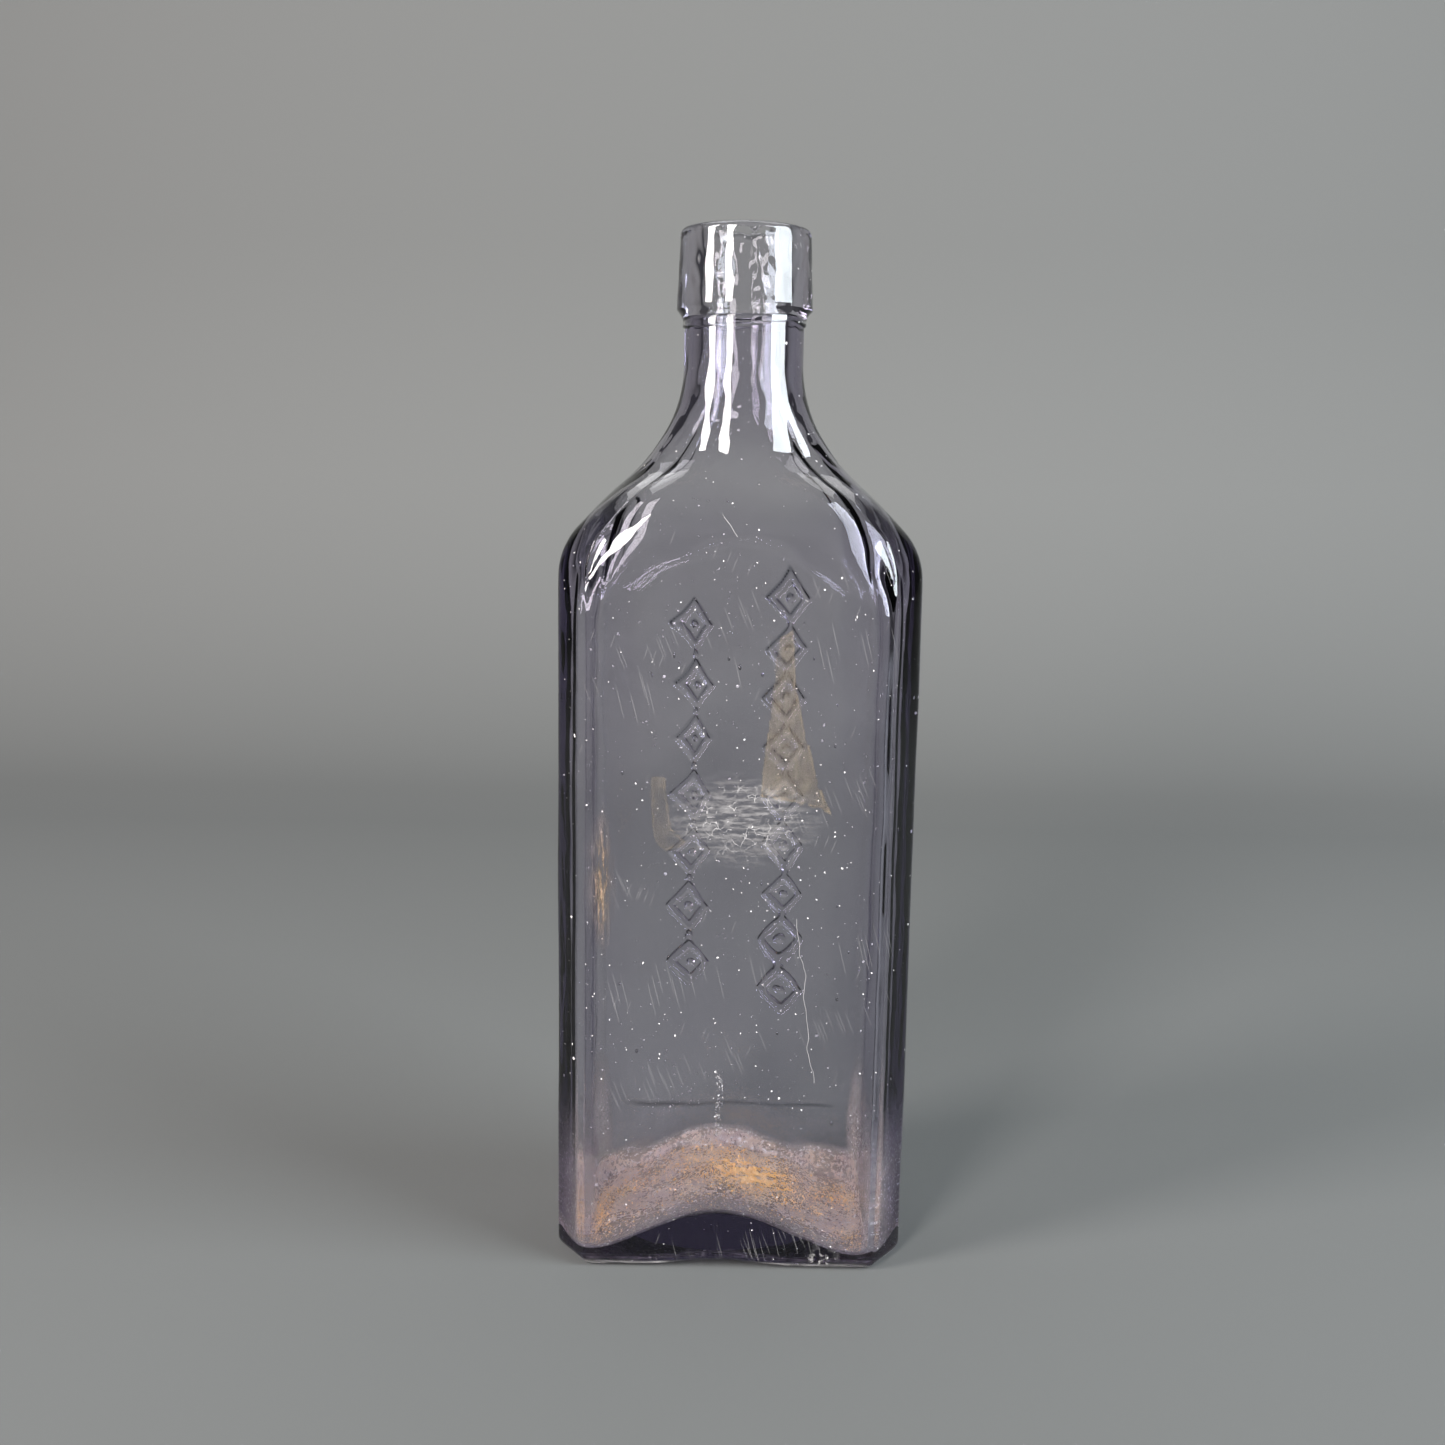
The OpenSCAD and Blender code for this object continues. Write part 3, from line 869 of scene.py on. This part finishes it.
def scuffs(tree, place):
    """A rubbed patch: a smeary haze drawn out sideways, with fine cracks in it."""
    rubbed = ramp(tree, noise(tree, scaled(tree, place, (0.2, 1, 1)), 1.0, 6, 0.7), 0.45, 0.8)
    bent = jitter(tree, place, 1.5, 0.8)
    cracks = add(tree, "ShaderNodeTexVoronoi", {"Vector": bent, "Scale": 1 / (2.2 * MM)},
                 feature="DISTANCE_TO_EDGE")
    broken = ramp(tree, noise(tree, place, 3, 4), 0.48, 0.56)
    crackle = times(tree, broken, compute(tree, "LESS_THAN", cracks.outputs["Distance"], 0.022))
    marks = highest(tree, times(tree, rubbed, 0.3), times(tree, crackle, 0.32))
    return times(tree, painted(tree, "scuff"), marks)


def chips(tree, place):
    """The bruised edge of the flake that is gone from the heel."""
    bruise = ramp(tree, noise(tree, place, 1.4, 6, 0.7), 0.52, 0.60)
    return times(tree, painted(tree, "chip"), bruise, 0.4)


def base_wear(tree, place):
    """The dull ring that shelves have rubbed into the standing surface."""
    rubbed = ramp(tree, noise(tree, scaled(tree, place, (0.15, 1, 1)), 0.9, 4), 0.35, 0.7)
    return times(tree, painted(tree, "rested"), rubbed, 0.6)


def glints(tree, place):
    """Painted glints: white spots in the dried veil where its grains would catch the light."""
    return ramp(tree, noise(tree, place, 0.7, 3), 0.59, 0.63)


def haze(tree, place):
    """The dried veil that dulls the inner floor and hangs in threads on the walls, with painted
    glints in it and painted highlights along the far fillet.
    """
    soft = ramp(tree, noise(tree, place, 9, 4, 0.6), 0.25, 0.75)
    fine = ramp(tree, noise(tree, place, 0.9, 4, 0.7), 0.3, 0.7)
    lumps = compute(tree, "MULTIPLY_ADD", compute(tree, "ADD", soft, fine), 0.34, 0.16)
    threads = ramp(tree, noise(tree, scaled(tree, place, (1, 1, 0.1)), 0.6, 5, 0.7), 0.45, 0.75)
    # the veil's lumps, and white painted glints where its grains would catch the light
    settled = times(tree, painted(tree, "haze"), highest(tree, lumps, glints(tree, place)), 0.95)
    hanging = times(tree, painted(tree, "streak"), threads)
    # painted highlights along the top of the far fillet
    fillet_highlight = times(tree, painted(tree, "fillet_highlight"),
                  ramp(tree, noise(tree, place, 1.5, 5, 0.7), 0.35, 0.6))
    return highest(tree, settled, hanging, fillet_highlight)


def dirt_colour(tree, place):
    """White dust and white painted glints, a mauve to tan veil on the floor, and golden threads on
    the left.
    """
    veil = blend(tree, ramp(tree, noise(tree, place, 8, 4, 0.6), 0.3, 0.7), TAN, MAUVE)
    # where the painted glints are, the veil keeps the white of the dust
    settled = times(tree, painted(tree, "haze"),
                    compute(tree, "SUBTRACT", 1.0, glints(tree, place)))
    dusty = blend(tree, settled, DUST, veil)
    return blend(tree, painted(tree, "streak"), dusty, GOLD)


def lip_glass():
    """The lip's glass, less tinted than the body's, with dust and scratches of its own."""
    material, tree, place = start_material("lip_glass")
    dust = specks(tree, place, 2.4, 0.2, 0.3)
    fine = scratches(tree, place, 12, 0.04, 4, 0.15)
    cover = highest(tree, times(tree, dust, 0.7), times(tree, fine, 0.3))
    glass_output(tree, cover, DUST, LIP_DENSITY)
    return material


def crust_material():
    """The gritty golden crust."""
    material, tree, place = start_material("dried_residue")
    patchy = ramp(tree, noise(tree, place, 5, 6), 0.35, 0.65)
    gritty = noise(tree, place, 0.5, 4)
    tan = blend(tree, patchy, (0.95, 0.60, 0.22, 1), (0.96, 0.72, 0.42, 1))
    colour = blend(tree, ramp(tree, gritty, 0.6, 0.75), tan, (0.95, 0.88, 0.80, 1))
    relief = add(tree, "ShaderNodeBump",
                 {"Height": gritty, "Distance": 0.1 * MM, "Strength": 0.8})
    matt_output(tree, colour, 0.92, Normal=relief.outputs[0])
    return material


def film_material():
    """The mottled film, with a line just inside its outline."""
    material, tree, place = start_material("stain_film")
    mottled = ramp(tree, noise(tree, place, 3, 6, 0.7), 0.35, 0.7)
    fine = ramp(tree, noise(tree, scaled(tree, place, (1, 1, 0.15)), 0.8, 4), 0.3, 0.75)
    cover = painted(tree, "cover")
    edge = ramp(tree, compute(tree, "ABSOLUTE", compute(tree, "SUBTRACT", cover, 0.25)), 0.2, 0.0)
    mottling = compute(tree, "MULTIPLY_ADD", times(tree, mottled, fine), 0.5, 0.08)
    amount = times(tree, ramp(tree, cover, 0.0, 0.3), mottling)
    see = times(tree, painted(tree, "strength"), highest(tree, amount, times(tree, edge, 0.45)))
    colour = blend(tree, mottled, (0.52, 0.40, 0.16, 1), (0.70, 0.56, 0.28, 1))
    matt_output(tree, colour, 0.75, Alpha=see)
    return material


# ---------------------------------------------------------------- pieces

def place_piece(piece, node):
    """A visible piece stands in for the CAD node of the same sub-part."""
    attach(piece, "root")
    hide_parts(node)


place_piece(build_body(violet_glass()), "glass_body")
place_piece(build_lip(lip_glass()), "applied_lip")
place_piece(build_crust(crust_material()), "floor_residue")
place_piece(build_stains(film_material()), "wall_residue")


# ---------------------------------------------------------------- stage, lights, camera

STAGE_NEAR, STAGE_FAR, STAGE_HALF_W = -2600.0, 850.0, 1600.0
STAGE_TOP, STAGE_SWEEP_R = 800.0, 350.0
STAGE_Z = -0.1          # just below the underside, so that no two faces lie in one plane

LIGHT_TARGET, LIGHT_DISTANCE = Vector((0, 0, 0.15)), 1.2
# name, azimuth, elevation, size, radiance and colour
LIGHTS = [("left_far_strip", -64, 24, (0.30, 0.9), 31.0, (1.0, 0.95, 0.94)),
          ("left_near_strip", -28, 24, (0.26, 0.9), 31.0, (1.0, 0.95, 0.94)),
          ("right_window", 68, 24, (0.72, 0.9), 19.5, (0.88, 0.95, 1.0)),
          ("top_wash", 180, 70, (1.2, 0.8), 2.5, (1.0, 1.0, 1.0))]
ROOM_COLOUR = (0.05, 0.05, 0.055, 1)

CAMERA_PLACE = Vector((-3.4, -350, 180))
CAMERA_DOWN_DEG, CAMERA_ROLL = 9.3, 0.0167
LENS, SENSOR_WIDTH = 38.39, 36.0
LIGHT_BOUNCES = 24      # enough to pass through all the walls of glass


def stage_material():
    """Grey paper that gets paler towards the back and up the sweep: painted light, as if more light
    fell on the backdrop than on the floor.
    """
    material, tree, place = start_material("paper")
    split = add(tree, "ShaderNodeSeparateXYZ", {"Vector": place})
    # the paler back and sweep are painted light
    colour = blend(tree, ramp(tree, split.outputs["Y"], 0.42, 0.80), (0.072, 0.075, 0.073, 1),
                   (0.124, 0.125, 0.120, 1))
    matt_output(tree, colour, 0.95)
    return material


def build_stage():
    """A floor just under the bottle that sweeps up into a backdrop behind it."""
    sweep_from = STAGE_FAR - STAGE_SWEEP_R
    profile = [(STAGE_NEAR, STAGE_Z), (sweep_from, STAGE_Z)]
    profile += [(STAGE_FAR - STAGE_SWEEP_R * (1 - math.sin(t)),
                 STAGE_Z + STAGE_SWEEP_R * (1 - math.cos(t)))
                for t in np.radians(np.linspace(0, 90, 17)[1:])]
    profile.append((STAGE_FAR, STAGE_TOP))
    points = [(x, y, z) for y, z in profile for x in (-STAGE_HALF_W, STAGE_HALF_W)]
    faces = [(2 * k, 2 * k + 1, 2 * k + 3, 2 * k + 2) for k in range(len(profile) - 1)]
    mesh_object("backdrop", points, faces, stage_material())


def area_light(name, azimuth, elevation, size, radiance, colour):
    """A soft rectangular light aimed at the bottle. Azimuth 0 is the camera's side."""
    turn, rise = math.radians(azimuth), math.radians(elevation)
    data = bpy.data.lights.new(name, "AREA")
    data.shape = "RECTANGLE"
    data.size, data.size_y = size
    data.energy = math.pi * size[0] * size[1] * radiance
    data.color = colour
    light = bpy.data.objects.new(name, data)
    back = Vector((math.sin(turn) * math.cos(rise), -math.cos(turn) * math.cos(rise),
                   math.sin(rise)))
    light.location = LIGHT_TARGET + back * LIGHT_DISTANCE
    light.rotation_mode = "QUATERNION"
    light.rotation_quaternion = back.to_track_quat("Z", "Y")
    bpy.context.scene.collection.objects.link(light)


def build_camera():
    """The photo's view: from the front and above the bottle's middle, looking a little down."""
    data = bpy.data.cameras.new("camera")
    data.sensor_width = SENSOR_WIDTH
    data.lens = LENS
    camera = bpy.data.objects.new("camera", data)
    tilt = Matrix.Rotation(math.radians(90 - CAMERA_DOWN_DEG), 4, "X")
    roll = Matrix.Rotation(CAMERA_ROLL, 4, "Z")
    camera.matrix_world = Matrix.Translation(CAMERA_PLACE * MM) @ tilt @ roll
    bpy.context.scene.collection.objects.link(camera)
    bpy.context.scene.camera = camera


def build_world():
    world = bpy.data.worlds.new("room")
    world.use_nodes = True
    world.node_tree.nodes["Background"].inputs["Color"].default_value = ROOM_COLOUR
    bpy.context.scene.world = world


build_stage()
for light in LIGHTS:
    area_light(*light)
build_camera()
build_world()
bpy.context.scene.view_settings.view_transform = "Standard"
bpy.context.scene.cycles.max_bounces = LIGHT_BOUNCES
bpy.context.scene.cycles.transmission_bounces = LIGHT_BOUNCES
